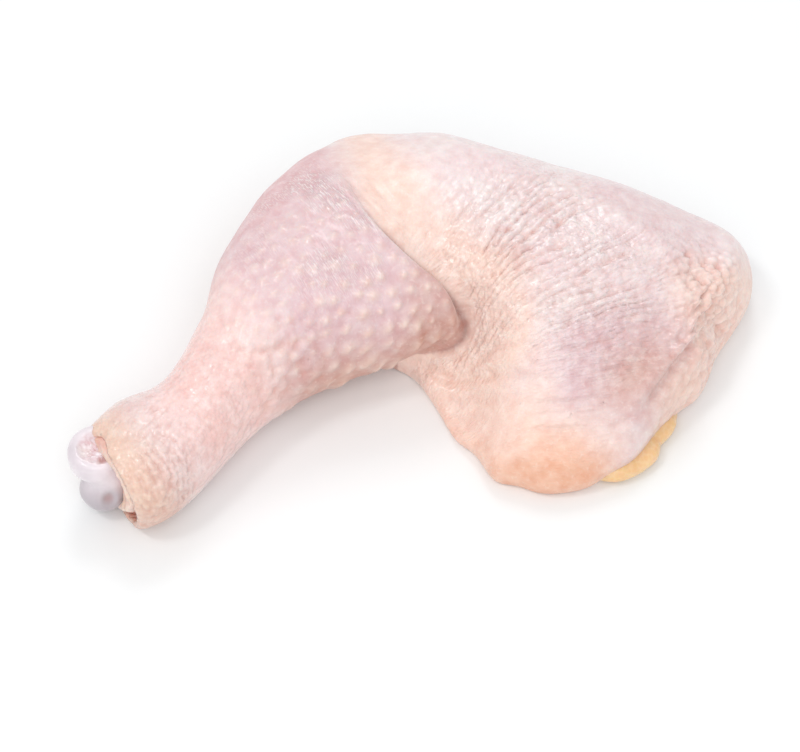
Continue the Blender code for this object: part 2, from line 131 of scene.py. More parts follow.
# The finished skin keeps this many triangles, with fewer of them underneath, below this height.
SKIN_TRIANGLES = 192000
UNDERSIDE = 0.5
SHARE_OF_UPPER_SKIN = 0.3

# The hock, where the shank was cut through: middle of the opening and the direction it faces.
HOCK = (-76.3, -51.8, 12.8)
HOCK_TURN = 217.0
# Half sizes of the hollow inside the rim of skin, its squareness, and where its rings lie along the bone.
HOLLOW_HALF = (12.2, 11.2)
HOLLOW_SQUARENESS = 2.2
HOLLOW_RINGS = (-5.0, -2.5, 0.0, 4.0, 8.0)
# Where the rim reaches further along the bone, or less far: place across the opening, half width and reach.
RIM_TONGUES = (
    (-14.5, 4.5, 3.5),
    (-5.5, 4.0, -1.8),
)
# The tongues start this far along the bone and this high, and are full at the second value.
RIM_ALONG = (-9.0, -1.0)
RIM_HEIGHT = (9.0, 17.0)

# Line of the crease where the drumstick lies on the thigh, and on along the drumstick's lower side: x, y and
# how deep the skin dips there.
CREASE = (
    (-33.0, 66.0, 0.0),
    (-22.0, 36.0, 0.0),
    (-19.4, 31.0, 0.1),
    (-13.3, 16.6, 0.6),
    (-6.7, 7.2, 1.4),
    (2.5, -1.0, 2.0),
    (8.6, -5.5, 2.4),
    (12.4, -9.3, 2.4),
    (13.0, -12.4, 2.0),
    (10.0, -14.6, 1.2),
    (3.0, -17.2, 0.0),
    (-4.0, -19.5, 0.0),
    (-20.0, -29.5, 0.0),
    (-35.0, -42.0, 0.0),
    (-50.0, -60.0, 0.0),
)
CREASE_STEPS = 6
# Height of the widest part of the drumstick's fat end, and its half width and half height there.
LOBE_HEIGHT = 24.0
LOBE_HALF = (28.0, 17.5)

# The thigh's wrinkles fan out from this place. Length, width and depth of the long lines, whose width is the
# one at the fan's radius; finer lines between them, as shares of these; size and depth of the pebbles; and
# the two mounds over which all of them spread.
FAN_MIDDLE = (-25.0, -45.0)
FAN_RADIUS = 70.0
FAN_CLOSING = 1.7
FAN_CLOSING_RATE = 0.35
FAN_LINES = (15.0, 2.7, 0.9)
FINE_LINES = (0.6, 0.55, 0.45)
LINE_REACH_IN_HEIGHT = 14.0
FAN_PEBBLES = (2.0, 0.75)
FAN_MOUNDS = (
    (27.0, 6.0, 30.0, 20.0, 48.0, 1.0, 1.6),
    (55.0, -6.0, 30.0, 22.0, 20.0, 0.75, 2.0),
)
# Size of the fan's fine grain, which only its finish shows: along the wrinkles, across them and upwards.
FAN_GRAIN = (2.2, 1.1, 1.0)
# How far a line is bent by the noise, as a share of the distance between lines, and its half width.
LINE_BEND = 0.9
LINE_HALF_WIDTH = 0.24
# Creases that ring the shank's lower side beside the hock: length, width and depth, and where they spread.
RING_CREASES = (12.0, 1.9, 0.5)
RING_MOUND = (-64.0, -57.0, 11.0, 10.0, 47.0, 1.0, 1.6)
# Fields of pebbles and wrinkles elsewhere: middle x and y, half length, half width and turn of the field,
# then which way its wrinkles run, their length, width and depth.
FIELDS = (
    (78.0, -10.0, 13.0, 7.5, 50.0, 50.0, 5.0, 1.7, 1.5),
    (81.5, 2.0, 10.0, 13.0, 0.0, 45.0, 2.3, 1.9, 1.5),
    (73.0, -23.0, 13.0, 5.0, 55.0, 55.0, 3.0, 2.1, 0.8),
    (45.0, -37.0, 15.0, 7.0, 8.0, 9.0, 6.0, 1.5, 0.6),
    (20.0, -24.0, 16.0, 5.0, -8.0, -8.0, 12.0, 2.4, 0.35),
    (-46.0, -34.0, 15.0, 16.0, 47.0, 47.0, 2.4, 1.9, 0.65),
    (-30.0, -25.0, 14.0, 11.0, 47.0, 47.0, 3.0, 2.6, 0.95),
    (-62.0, -46.0, 12.0, 13.0, 47.0, 47.0, 2.4, 1.4, 0.45),
    (-66.0, -54.0, 14.0, 19.0, 47.0, 47.0, 1.9, 1.6, 0.4),
    (-63.0, -57.0, 10.0, 11.0, 47.0, -48.0, 7.0, 1.7, 0.9),
    (-20.0, 12.0, 19.0, 20.0, -50.0, -51.0, 14.0, 2.2, 0.45),
    (-8.0, -16.0, 26.0, 7.0, 12.0, 12.0, 3.0, 2.4, 0.40),
)

# Single folds: x and y along each line, then depth and half width.
FOLDS = (
    (((12.5, -6.0), (23.6, 3.0), (33.0, 13.5), (41.0, 22.5)), 0.55, 1.0),
    (((15.0, -10.0), (21.0, -5.0), (28.0, 2.0), (38.0, 10.0)), 0.5, 0.9),
    (((17.0, -15.0), (24.0, -11.0), (32.0, -6.0), (42.0, -1.5)), 0.45, 1.0),
    (((84.2, -2.5), (78.1, -11.5), (73.5, -18.2), (68.6, -23.4), (64.0, -29.0), (60.0, -33.5)), 1.5, 1.2),
    (((71.5, -16.5), (76.3, -10.9), (80.7, -5.6), (83.8, -1.5)), 0.7, 0.8),
    (((74.6, -17.2), (79.1, -10.9), (84.5, -3.7)), 0.6, 0.7),
    (((72.0, -11.7), (76.2, -8.2), (79.8, -3.7)), 0.5, 0.7),
    (((66.0, -19.5), (70.6, -15.5), (73.5, -12.0)), 0.6, 0.9),
    (((46.2, 24.1), (55.8, 16.5), (66.4, 8.8), (71.6, -1.8), (70.6, -13.6), (65.5, -26.5)), -0.6, 3.2),
    (((-1.1, -10.9), (4.8, -14.6), (11.1, -18.3), (17.2, -20.0), (23.1, -23.8), (30.7, -28.6)), 1.1, 1.2),
    (((8.0, -17.0), (16.0, -17.5), (23.0, -18.5)), 0.9, 1.1),
    (((31.0, -33.0), (39.0, -33.0), (48.0, -32.0)), 0.4, 0.8),
    (((30.0, -38.0), (39.0, -38.5), (48.0, -37.5)), 0.4, 0.8),
    (((-31.5, -34.5), (-27.0, -29.0), (-20.0, -27.0)), 0.9, 1.0),
    (((-36.0, -34.0), (-29.0, -26.0), (-22.0, -21.5)), 0.6, 0.9),
)
# Line where the thin peach skin of the flap meets the pink skin that is drawn over the thigh.
FLAP_LINE = (
    (-2.0, -10.0),
    (15.7, -14.5),
    (23.6, -19.5),
    (28.5, -25.0),
    (34.1, -30.5),
    (38.0, -35.0),
    (42.0, -38.0),
    (51.2, -44.1),
    (58.0, -49.0),
)

# Goose bumps on the drumstick: spacing along and between rows, turn of the rows, jitter, half width, height.
BUMP_SPACING = (5.0, 4.9)
BUMP_TURN = 9.0
BUMP_JITTER = 0.45
BUMP_HALF_WIDTH = 1.6
BUMP_HEIGHT = 1.05
BUMP_MOUNDS = (
    (-9.0, -12.0, 23.0, 15.0, 5.0, 1.0, 2.0),
    (-24.0, -6.0, 30.0, 22.0, 40.0, 0.6, 2.0),
)

# Patches of colour as mounds: middle x and y, half length, half width, turn, strength and steepness.
HIP_PEACH = (80.0, -4.0, 12.0, 12.0, 0.0, 0.8)
FLAP_PEACH = (21.0, -15.0, 9.0, 9.0, 0.0)
THIGH_LAVENDER = (52.0, -24.0, 26.0, 13.0, 20.0)
# Painted shade: lavender laid on the back of the thigh's right half to darken it.
BACK_SHADE_LAVENDER = (66.0, 22.0, 18.0, 12.0, -30.0, 0.5)
KNEE_MAUVE = (-36.0, 31.0, 24.0, 12.0, 55.0)
LOBE_TAN = (8.0, -9.0, 10.0, 13.0, 0.0, 0.6)
EDGE_TAN = (59.0, -26.0, 14.0, 7.0, 40.0, 0.85, 1.0)
WET_GRAINS = (48.0, 9.0, 17.0, 9.0, -25.0, 1.0, 1.5)
LIP_ORANGE = (36.0, -48.0, 17.0, 9.0, 4.0, 1.0, 1.0)
# Whitish fibrous streaks on the drumstick's upper side, partly painted sheen.
FIBRE_SHEEN = (-20.0, 13.0, 22.0, 24.0, -50.0)
# The flush lies across the shank, this far from the hock and with this half width.
FLUSH_AT = 33.0
FLUSH_HALF_WIDTH = 18.0
# Tints, laid over the base colour in this order: name, screen colour, share, and more share in blotches.
SKIN_BASE = (235, 222, 222)
SKIN_BLOTCH = (233, 210, 214)
SKIN_TINTS = (
    ("lavender", (211, 174, 183), 0.65, 0.3),
    ("peach", (246, 213, 197), 0.7, 0.3),
    ("flap", (247, 213, 197), 0.8, 0.2),
    ("flush", (246, 196, 188), 0.35, 0.5),
    ("mauve", (218, 170, 176), 0.85, 0.0),
    # Tan patches, and painted shade on the low side of the drumstick's fat end.
    ("tan_and_low_shade", (194, 142, 124), 0.75, 0.25),
    ("cuff", (240, 206, 176), 0.7, 0.0),
    ("ankle", (210, 154, 118), 0.6, 0.3),
    ("lip", (229, 158, 110), 0.68, 0.15),
)
# Painted shade: warm pink-orange laid into the hollows of the relief, more where they are deeper.
VALLEY_SHADE_COLOUR = (216, 150, 132)
# Painted shade: dark red-brown laid into the crease where the drumstick lies on the thigh.
CREASE_SHADE_COLOUR = (150, 98, 88)
RAW_COLOUR = (246, 180, 164)
BUMP_COLOUR = (246, 224, 204)
# Whitish strands on the drumstick, partly painted sheen.
STRAND_SHEEN_COLOUR = (250, 236, 236)
# Darker skin for the random mottle, and painted shade in the grooves of the wrinkles and between the shank's
# pebbles.
DARK_SKIN_AND_GROOVE_SHADE = (212, 160, 150)
# Paler skin for the random mottle and specks, and painted highlights along the drumstick's edge at the crease
# and on the wrinkles' ridges.
PALE_SKIN_AND_HIGHLIGHT = (255, 246, 240)


def smooth_rows(rows, steps, closed=False):
    """Rows of numbers joined by a smooth curve: Catmull-Rom cubics through every row, steps points a span."""
    rows = np.array(rows, float)
    if closed:
        padded = np.concatenate([rows[-1:], rows, rows[:2]])
    else:
        padded = np.concatenate([2 * rows[:1] - rows[1:2], rows, 2 * rows[-1:] - rows[-2:-1]])
    t = np.linspace(0, 1, steps, endpoint=False)[None, :, None]
    a, b, c, d = (padded[k : len(padded) - 3 + k][:, None] for k in range(4))
    bend = t**2 * (2 * a - 5 * b + 4 * c - d) / 2 + t**3 * (3 * b - a - 3 * c + d) / 2
    curve = (b + t * (c - a) / 2 + bend).reshape(-1, rows.shape[1])
    return curve if closed else np.concatenate([curve, rows[-1:]])


def oval(sides, power):
    """Cosine and sine round an oval, each to the power 2 / power, so that its corners fill out past 2."""
    angles = np.linspace(0, 2 * np.pi, sides, endpoint=False)
    full = 2 / power
    cosines = np.sign(np.cos(angles)) * np.abs(np.cos(angles)) ** full
    sines = np.sign(np.sin(angles)) * np.abs(np.sin(angles)) ** full
    return cosines, sines


def drumstick_rings():
    """Oval rings between the two edges of each section, then rings that shrink to the tip of the fat end."""
    rows = smooth_rows(DRUM_SECTIONS, DRUM_STEPS)
    across, up = oval(DRUM_SIDES, DRUM_SQUARENESS)
    outer, inner = rows[:, 0:2], rows[:, 2:4]
    low, top = rows[:, 4:5], rows[:, 5:6]
    rings = np.empty((len(rows), DRUM_SIDES, 3))
    rings[:, :, :2] = ((outer + inner) / 2)[:, None] + ((inner - outer) / 2)[:, None] * across[None, :, None]
    rings[:, :, 2] = (low + top) / 2 + (top - low) / 2 * up[None]
    last = rings[-1]
    middle = last.mean(axis=0)
    turns = np.radians(DRUM_END_TURNS)[:, None, None]
    caps = middle + (last - middle) * np.cos(turns) ** DRUM_END_FULLNESS + (DRUM_TIP - middle) * np.sin(turns)
    return np.concatenate([rings, caps])


def mound(x, y, centre_x, centre_y, half_length, half_width, turn, height=1.0, steepness=2.0):
    """A round hill: height times exp of minus the squared elliptical radius to the power of the steepness."""
    angle = np.radians(turn)
    along = (x - centre_x) * np.cos(angle) + (y - centre_y) * np.sin(angle)
    across = (y - centre_y) * np.cos(angle) - (x - centre_x) * np.sin(angle)
    return height * np.exp(-(((along / half_length) ** 2 + (across / half_width) ** 2) ** steepness))


def thigh_rings():
    """Rings shrunk from the outline: from the underside's middle out to the edge and back over the top. Both
    sides meet the outermost line as quarter ellipses, sqrt(1 - (1 - inset)^2); the top adds the mounds."""
    outline = smooth_rows(THIGH_OUTLINE, THIGH_STEPS, closed=True)
    centre = np.array(THIGH_CENTRE)
    edge, shoulder, roll = outline[:, 2], outline[:, 3], outline[:, 4]
    reach = np.linalg.norm(outline[:, :2] - centre, axis=1)
    outward = 1 - (1 - np.linspace(0.06, 1, THIGH_RINGS // 2)) ** THIGH_CROWDING
    rings = []
    for fraction in outward:
        plan = centre + (outline[:, :2] - centre) * fraction
        inset = np.clip((1 - fraction) * reach / edge, 0, 1)
        height = edge - (edge + FLAT_DEPTH) * np.sqrt(1 - (1 - inset) ** 2)
        rings.append(np.column_stack([plan, height]))
    for fraction in outward[-2::-1]:
        plan = centre + (outline[:, :2] - centre) * fraction
        distance = (1 - fraction) * reach
        inset = np.clip(distance / shoulder, 0, 1)
        top = THIGH_BASE + sum(mound(plan[:, 0], plan[:, 1], *row) for row in THIGH_MOUNDS)
        top += roll * np.exp(-(((distance - ROLL_FROM_EDGE) / ROLL_WIDTH) ** 2))
        height = edge + (top - edge) * np.sqrt(1 - (1 - inset) ** 2)
        rings.append(np.column_stack([plan, height]))
    return np.array(rings)


def loft(rings):
    """Points and faces over a grid of rings: quads from ring to ring, and triangles from each end ring to its
    middle."""
    count, sides = rings.shape[:2]
    here = np.arange(sides)
    after = np.roll(here, -1)
    level = sides * np.arange(count - 1)[:, None]
    quads = np.stack([level + here, level + after, level + sides + after, level + sides + here], axis=-1)
    last = sides * (count - 1)
    first_pole, last_pole = np.full(sides, sides * count), np.full(sides, sides * count + 1)
    first_fan = np.stack([after, here, first_pole], axis=-1)
    last_fan = np.stack([last + here, last + after, last_pole], axis=-1)
    points = np.concatenate([rings.reshape(-1, 3), rings[0].mean(axis=0)[None], rings[-1].mean(axis=0)[None]])
    return points, quads.reshape(-1, 4).tolist() + first_fan.tolist() + last_fan.tolist()


def add_piece(name, *shells):
    """An object over closed shells of points in the drawing's millimetres, its faces turned outwards."""
    mesh = bpy.data.meshes.new(name)
    points, faces = [], []
    for shell_points, shell_faces in shells:
        start = sum(len(rows) for rows in points)
        points.append(shell_points)
        faces += [[start + corner for corner in face] for face in shell_faces]
    mesh.from_pydata((np.concatenate(points) - (*PLAN_CENTRE, 0)) * MM, [], faces)
    turned = bmesh.new()
    turned.from_mesh(mesh)
    bmesh.ops.recalc_face_normals(turned, faces=turned.faces)
    turned.to_mesh(mesh)
    turned.free()
    piece = bpy.data.objects.new(name, mesh)
    bpy.context.scene.collection.objects.link(piece)
    return piece


def apply_modifiers(piece):
    """Replaces the piece's mesh by its evaluated one."""
    bpy.context.view_layer.update()
    mesh = bpy.data.meshes.new_from_object(piece.evaluated_get(bpy.context.evaluated_depsgraph_get()))
    piece.modifiers.clear()
    piece.data = mesh


def remesh(piece, pitch):
    """Joins the piece's overlapping shells into one even skin of quads of this size."""
    modifier = piece.modifiers.new("one skin", "REMESH")
    modifier.mode = "VOXEL"
    modifier.voxel_size = pitch * MM
    apply_modifiers(piece)


def points_of(piece):
    """The piece's points in the drawing's millimetres."""
    points = np.empty(len(piece.data.vertices) * 3)
    piece.data.vertices.foreach_get("co", points)
    return points.reshape(-1, 3) / MM + (*PLAN_CENTRE, 0)


def normals_of(piece):
    """The direction that the surface faces at each of the piece's points."""
    normals = np.empty(len(piece.data.vertices) * 3)
    piece.data.vertex_normals.foreach_get("vector", normals)
    return normals.reshape(-1, 3)


def set_points(piece, points):
    """Writes points in the drawing's millimetres back to the piece."""
    piece.data.vertices.foreach_set("co", ((points - (*PLAN_CENTRE, 0)) * MM).ravel())
    piece.data.update()


def relax(piece, rounds, shares):
    """Moves each point its share of the way to the mean of its neighbours, a number of times."""
    edges = np.empty(len(piece.data.edges) * 2, np.int64)
    piece.data.edges.foreach_get("vertices", edges)
    start, end = edges.reshape(-1, 2).T
    points = points_of(piece)
    count = np.bincount(edges, minlength=len(points))[:, None]
    for _ in range(rounds):
        total = np.zeros_like(points)
        for axis in range(3):
            total[:, axis] += np.bincount(start, points[end, axis], len(points))
            total[:, axis] += np.bincount(end, points[start, axis], len(points))
        points += np.reshape(shares, (-1, 1)) * (total / count - points)
    set_points(piece, points)


def cut(piece, cutter):
    """Takes the cutter's shape out of the piece and removes the cutter."""
    modifier = piece.modifiers.new("cut", "BOOLEAN")
    modifier.operation = "DIFFERENCE"
    modifier.object = cutter
    apply_modifiers(piece)
    bpy.data.objects.remove(cutter)


def at_hock(out, across, up):
    """Points given by their distances out of the hock's opening, across it to the inner side, and up."""
    turn = np.radians(HOCK_TURN)
    x = HOCK[0] + out * np.cos(turn) - across * np.sin(turn)
    y = HOCK[1] + out * np.sin(turn) + across * np.cos(turn)
    return np.stack(np.broadcast_arrays(x, y, HOCK[2] + up), axis=-1)


def from_hock_middle(points):
    """How far points are out of the hock's opening along the bone, and across it to the inner side."""
    turn = np.radians(HOCK_TURN)
    x, y = points[:, 0] - HOCK[0], points[:, 1] - HOCK[1]
    return x * np.cos(turn) + y * np.sin(turn), y * np.cos(turn) - x * np.sin(turn)


def random_table(cells, seed):
    """Three random numbers from 0 to 1 for each whole-number cell, always the same for the same seed."""
    table = np.random.default_rng(seed).random((4096, 3))
    index = (cells[:, 0] * 73856093) ^ (cells[:, 1] * 19349663) ^ (cells[:, 2] * 83492791)
    return table[index & 4095]


def noise(places, seed):
    """Smooth noise from -1 to 1: random values at whole-number places, joined by the cubic 3t^2 - 2t^3."""
    cell = np.floor(places).astype(np.int64)
    t = places - cell
    t = t * t * (3 - 2 * t)
    total = np.zeros(len(places))
    for corner in np.ndindex(2, 2, 2):
        weight = np.prod(np.where(corner, t, 1 - t), axis=1)
        total += weight * random_table(cell + corner, seed)[:, 0]
    return 2 * total - 1


def pebbles(places, seed):
    """Height of packed pebbles, 1 at their middles: 1 - 1.3 times the squared distance to the nearest of the
    points scattered one to each unit cube, so that round domes meet in sharp valleys."""
    cell = np.floor(places).astype(np.int64)
    first = np.full(len(places), 9.0)
    for step in np.ndindex(3, 3, 3):
        neighbour = cell + step - 1
        away = neighbour + 0.05 + 0.9 * random_table(neighbour, seed) - places
        first = np.minimum(first, (away**2).sum(axis=1))
    return 1 - 1.3 * first


def beside_path(x, y, path):
    """Distance from a path of x, y rows, positive on its left, and the row number of the nearest place."""
    best = np.full(len(x), np.inf)
    side = np.zeros(len(x))
    place = np.zeros(len(x))
    for k, (start, end) in enumerate(zip(path[:-1, :2], path[1:, :2])):
        run = end - start
        along = np.clip(((x - start[0]) * run[0] + (y - start[1]) * run[1]) / (run @ run), 0, 1)
        away_x, away_y = x - start[0] - along * run[0], y - start[1] - along * run[1]
        distance = np.hypot(away_x, away_y)
        nearer = distance < best
        best = np.where(nearer, distance, best)
        side = np.where(nearer, np.sign(run[0] * away_y - run[1] * away_x), side)
        place = np.where(nearer, k + along, place)
    return best * side, place


def tuck(z):
    """How far the drumstick's underside is tucked in from its edge at each height: half width times
    (1 - (1 - drop^power)^(1 / power)), with the drop below its middle height scaled by its half height."""
    drop = np.clip((LOBE_HEIGHT - z) / LOBE_HALF[1], 0, 0.98)
    return LOBE_HALF[0] * (1 - (1 - drop**DRUM_SQUARENESS) ** (1 / DRUM_SQUARENESS))


def ramp(values, start, end):
    """0 up to start, 1 from end on, and the cubic 3t^2 - 2t^3 between them."""
    t = np.clip((values - start) / (end - start), 0, 1)
    return t * t * (3 - 2 * t)


def goose_bumps(points, normals):
    """Height from 0 to 1 of round bumps on jittered staggered rows: exp(-(distance / half width)^2). A drop
    from the crest counts as half its size along the way down, so that the bumps stay round on the flanks."""
    drop = 0.5 * (43 - points[:, 2])
    x = points[:, 0] + drop * np.clip(3 * normals[:, 0], -1, 1)
    y = points[:, 1] + drop * np.clip(3 * normals[:, 1], -1, 1)
    turn = np.radians(BUMP_TURN)
    along = (x * np.cos(turn) + y * np.sin(turn)) / BUMP_SPACING[0]
    across = (y * np.cos(turn) - x * np.sin(turn)) / BUMP_SPACING[1]
    height = np.zeros(len(x))
    for row_step in (-1, 0, 1):
        row = np.floor(across) + row_step
        shifted = along + 0.5 * (row % 2)
        for step in (-1, 0, 1):
            number = np.floor(shifted) + step
            cell = np.column_stack([number, row, 0 * row]).astype(np.int64)
            jitter = BUMP_JITTER * (random_table(cell, 5) - 0.5)
            away_along = (shifted - number - 0.5 - jitter[:, 0]) * BUMP_SPACING[0]
            away_across = (across - row - 0.5 - jitter[:, 1]) * BUMP_SPACING[1]
            size = BUMP_HALF_WIDTH * (0.85 + 1.2 * jitter[:, 2])
            height = np.maximum(height, np.exp(-((away_along**2 + away_across**2) / size**2)))
    return height


def fan_places(points):
    """Places in the fan of wrinkles: distance from its middle, then the turn round it times its radius, then
    height. The turn counts for more where it is small, so that the lower wrinkles lie closer together."""
    x, y, z = (points - (*FAN_MIDDLE, 0)).T
    distance = np.hypot(x, y)
    turn = np.arctan2(y, x) + 0.02 * noise(points / 14.0, 90) + 0.005 * noise(points / 4.0, 91)
    return np.column_stack([distance, turn * (FAN_CLOSING - FAN_CLOSING_RATE * turn) * FAN_RADIUS, z])


def lines(places, seed):
    """Depth from 0 to 1 of long sharp lines, one to each unit across: (1 - distance from the line / half
    width)^1.3. Smooth noise bends the lines, and more of it lets them fade in and out."""
    drawn_out = places * (1.0, 0.4, 1.0)
    bent = places[:, 1] + LINE_BEND * noise(drawn_out, seed)
    away = np.abs(bent % 1 - 0.5)
    fade = ramp(noise(1.5 * drawn_out, seed + 10), -0.5, 0.3)
    return fade * np.clip(1 - away / LINE_HALF_WIDTH, 0, 1) ** 1.3


def crease_height(off_crease, dip):
    """Height beside the crease: -dip times exp(-distance / 5) on the thigh, and on the drumstick -dip times
    exp(-(distance / 0.9)^2) with a swell of 0.35 dip about 3 mm in from its edge."""
    on_thigh = off_crease > 0
    dipped = -dip * np.where(on_thigh, np.exp(-off_crease / 5.0), np.exp(-((off_crease / 0.9) ** 2)))
    swell = 0.35 * dip * np.exp(-(((off_crease + 3.0) / 2.4) ** 2)) * ~on_thigh
    return dipped + swell


def fold_height(x, y, line, depth, half_width):
    """Height of a fold: -depth times exp(-(distance / half width)^2), with swells of 0.45 depth beside it,
    and less towards its ends, as the sine along it to the power 0.6."""
    line = smooth_rows(line, 5)
    away, along = beside_path(x, y, line)
    fade = np.sin(np.pi * np.clip((along + 0.15) / (len(line) - 0.7), 0, 1)) ** 0.6
    beside = (np.abs(away) - 1.6 * half_width) / half_width
    return -depth * fade * (np.exp(-((away / half_width) ** 2)) - 0.45 * np.exp(-(beside**2)))


def field_height(points, row, seed):
    """Height from -1 to 0 of a field's pebbles, one unit long and wide in wrinkles' lengths and widths."""
    run, length, width = row[5:8]
    turn = np.radians(run)
    wander = 1.2 * noise(points / 9.0, seed + 50)
    along = points[:, 0] * np.cos(turn) + points[:, 1] * np.sin(turn)
    across = points[:, 1] * np.cos(turn) - points[:, 0] * np.sin(turn) + wander
    places = np.column_stack([along / length, across / width, points[:, 2] / width * 0.8])
    return pebbles(places, seed) - 1


def ellipsoid_rings(middle, half, sides=48, steps=24):
    """Rings of an ellipsoid from its lowest to its highest point: middle + half sizes times a unit sphere."""
    rise = np.linspace(-np.pi / 2, np.pi / 2, steps + 2)[1:-1, None]
    turn = np.linspace(0, 2 * np.pi, sides, endpoint=False)[None]
    out = np.cos(rise)
    sphere = np.stack(np.broadcast_arrays(out * np.cos(turn), out * np.sin(turn), np.sin(rise)), -1)
    return np.array(middle) + sphere * half


skin = add_piece("skin", loft(drumstick_rings()), loft(thigh_rings()), loft(ellipsoid_rings(*KNEE_FORM)))
remesh(skin, COARSE_PITCH)
relax(skin, SMOOTH_ROUNDS, SMOOTH_SHARE)
x, y, _ = points_of(skin).T
from_knee = np.hypot(x - KNEE[0], y - KNEE[1]) / KNEE_REACH
relax(skin, KNEE_ROUNDS, KNEE_SHARE * np.clip(1.3 - from_knee, 0, 1))

around, over = oval(48, HOLLOW_SQUARENESS)
hollow = at_hock(np.array(HOLLOW_RINGS)[:, None], HOLLOW_HALF[0] * around[None], HOLLOW_HALF[1] * over[None])
cut(skin, add_piece("hollow", loft(hollow)))
remesh(skin, FINE_PITCH)
relax(skin, FINE_ROUNDS, FINE_SHARE)

# The tongues of the rim slide along the bone.
points = points_of(skin)
out, across = from_hock_middle(points)
near_rim = ramp(out, *RIM_ALONG) * ramp(points[:, 2], *RIM_HEIGHT)
tongues = sum(reach * np.exp(-(((across - at) / half_width) ** 2)) for at, half_width, reach in RIM_TONGUES)
turn = np.radians(HOCK_TURN)
points[:, :2] += (near_rim * tongues)[:, None] * (np.cos(turn), np.sin(turn))
set_points(skin, points)

# The relief is a height along the normals: crease and folds first, on the upper side only.
normals = normals_of(skin)
x, y, z = points.T
upper = np.clip(3 * normals[:, 2] + 1.2, 0, 1) * np.clip(z / 3, 0, 1)
crease = smooth_rows(CREASE, CREASE_STEPS)
off_crease, place = beside_path(x, y, crease)
dip = np.interp(place, np.arange(len(crease)), crease[:, 2])
off_crease += (tuck(z) - 0.8) * ramp(x, -6.0, 0.0) * ramp(-y, 0.0, 6.0)
height = crease_height(off_crease, dip) * np.clip((z - 12) / 8, 0, 1)
height = upper * (height + sum(fold_height(x, y, *fold) for fold in FOLDS))

# Then the thigh's fan of wrinkles, the rings at the hock, and the fields elsewhere.
fan = fan_places(points)
thigh_side = ramp(off_crease, 0.0, 4.0)
on_fan = upper * thigh_side * np.maximum(*(mound(x, y, *row) for row in FAN_MOUNDS))
length, width, depth = FAN_LINES
shorter, closer, shallower = FINE_LINES
fields = -depth * lines(fan / (length, width, LINE_REACH_IN_HEIGHT), 80)
fields -= shallower * depth * lines(fan / (shorter * length, closer * width, LINE_REACH_IN_HEIGHT), 82)
size, depth = FAN_PEBBLES
fields += depth * (pebbles(points / size, 81) - 1)
fields *= on_fan
length, width, depth = RING_CREASES
out, across = from_hock_middle(points)
round_shank = np.column_stack([across / length, out / width, z / length])
fields -= depth * upper * mound(x, y, *RING_MOUND) * lines(round_shank, 84)
for number, row in enumerate(FIELDS):
    mask = mound(x, y, *row[:5], 1.0, 1.6) * upper
    near = mask > 0.01
    fields[near] += row[8] * mask[near] * field_height(points[near], row, number)

# Last the goose bumps and soft lumps all over.
on_drumstick = np.clip(-off_crease / 4, 0, 1) * np.clip((z - 2) / 5, 0, 1)
bumps = goose_bumps(points, normals) * on_drumstick * np.maximum(*(mound(x, y, *row) for row in BUMP_MOUNDS))
lumps = 0.35 * noise(points / 14.0, 71) + 0.12 * noise(points / 5.0, 72)
height += fields + BUMP_HEIGHT * bumps + lumps * np.clip(z / 6, 0, 1)
points += normals * height[:, None]
points[:, 2] = np.maximum(points[:, 2], 0)
set_points(skin, points)


def add_mask(piece, name, values):
    """Stores a number from 0 to 1 at each of the piece's points, for its material to read."""
    piece.data.attributes.new(name, "FLOAT", "POINT").data.foreach_set("value", np.clip(values, 0, 1))


# Where each tint and finish lies. A ramp gives the two distances between which it starts and is full.
outline = smooth_rows(THIGH_OUTLINE, 3, closed=True)
inward, _ = beside_path(x, y, np.concatenate([outline, outline[:1]]))
past_flap_line, _ = beside_path(x, y, smooth_rows(FLAP_LINE, 3))
softness = 0.6 + 10.0 * ramp(y, 8, 38)
on_thigh = ramp(off_crease / softness, -1, 1)
drumstick = 1 - on_thigh
from_hock = -from_hock_middle(points)[0]
below_flap_line = ramp(-past_flap_line + 3.0 * noise(points / 7.0, 95), -10, 8)
flap = below_flap_line * on_thigh * ramp(x, -6, 2) * ramp(-y, -2, 8)
rim = ramp(-inward, -9, -1) * ramp(x, 58, 70) * ramp(-y, -28, -8)
beside_crease = on_thigh * ramp(-off_crease - 3.0 * noise(points / 9.0, 96), -27, -9) * ramp(x, -30, -10)
on_meat = drumstick * ramp(from_hock, 40, 62)
# Painted shade: the low side of the drumstick towards its fat end, full below 12 mm high.
shaded_low_side = ramp(from_hock, 38, 60) * ramp(-z, -38, -12)
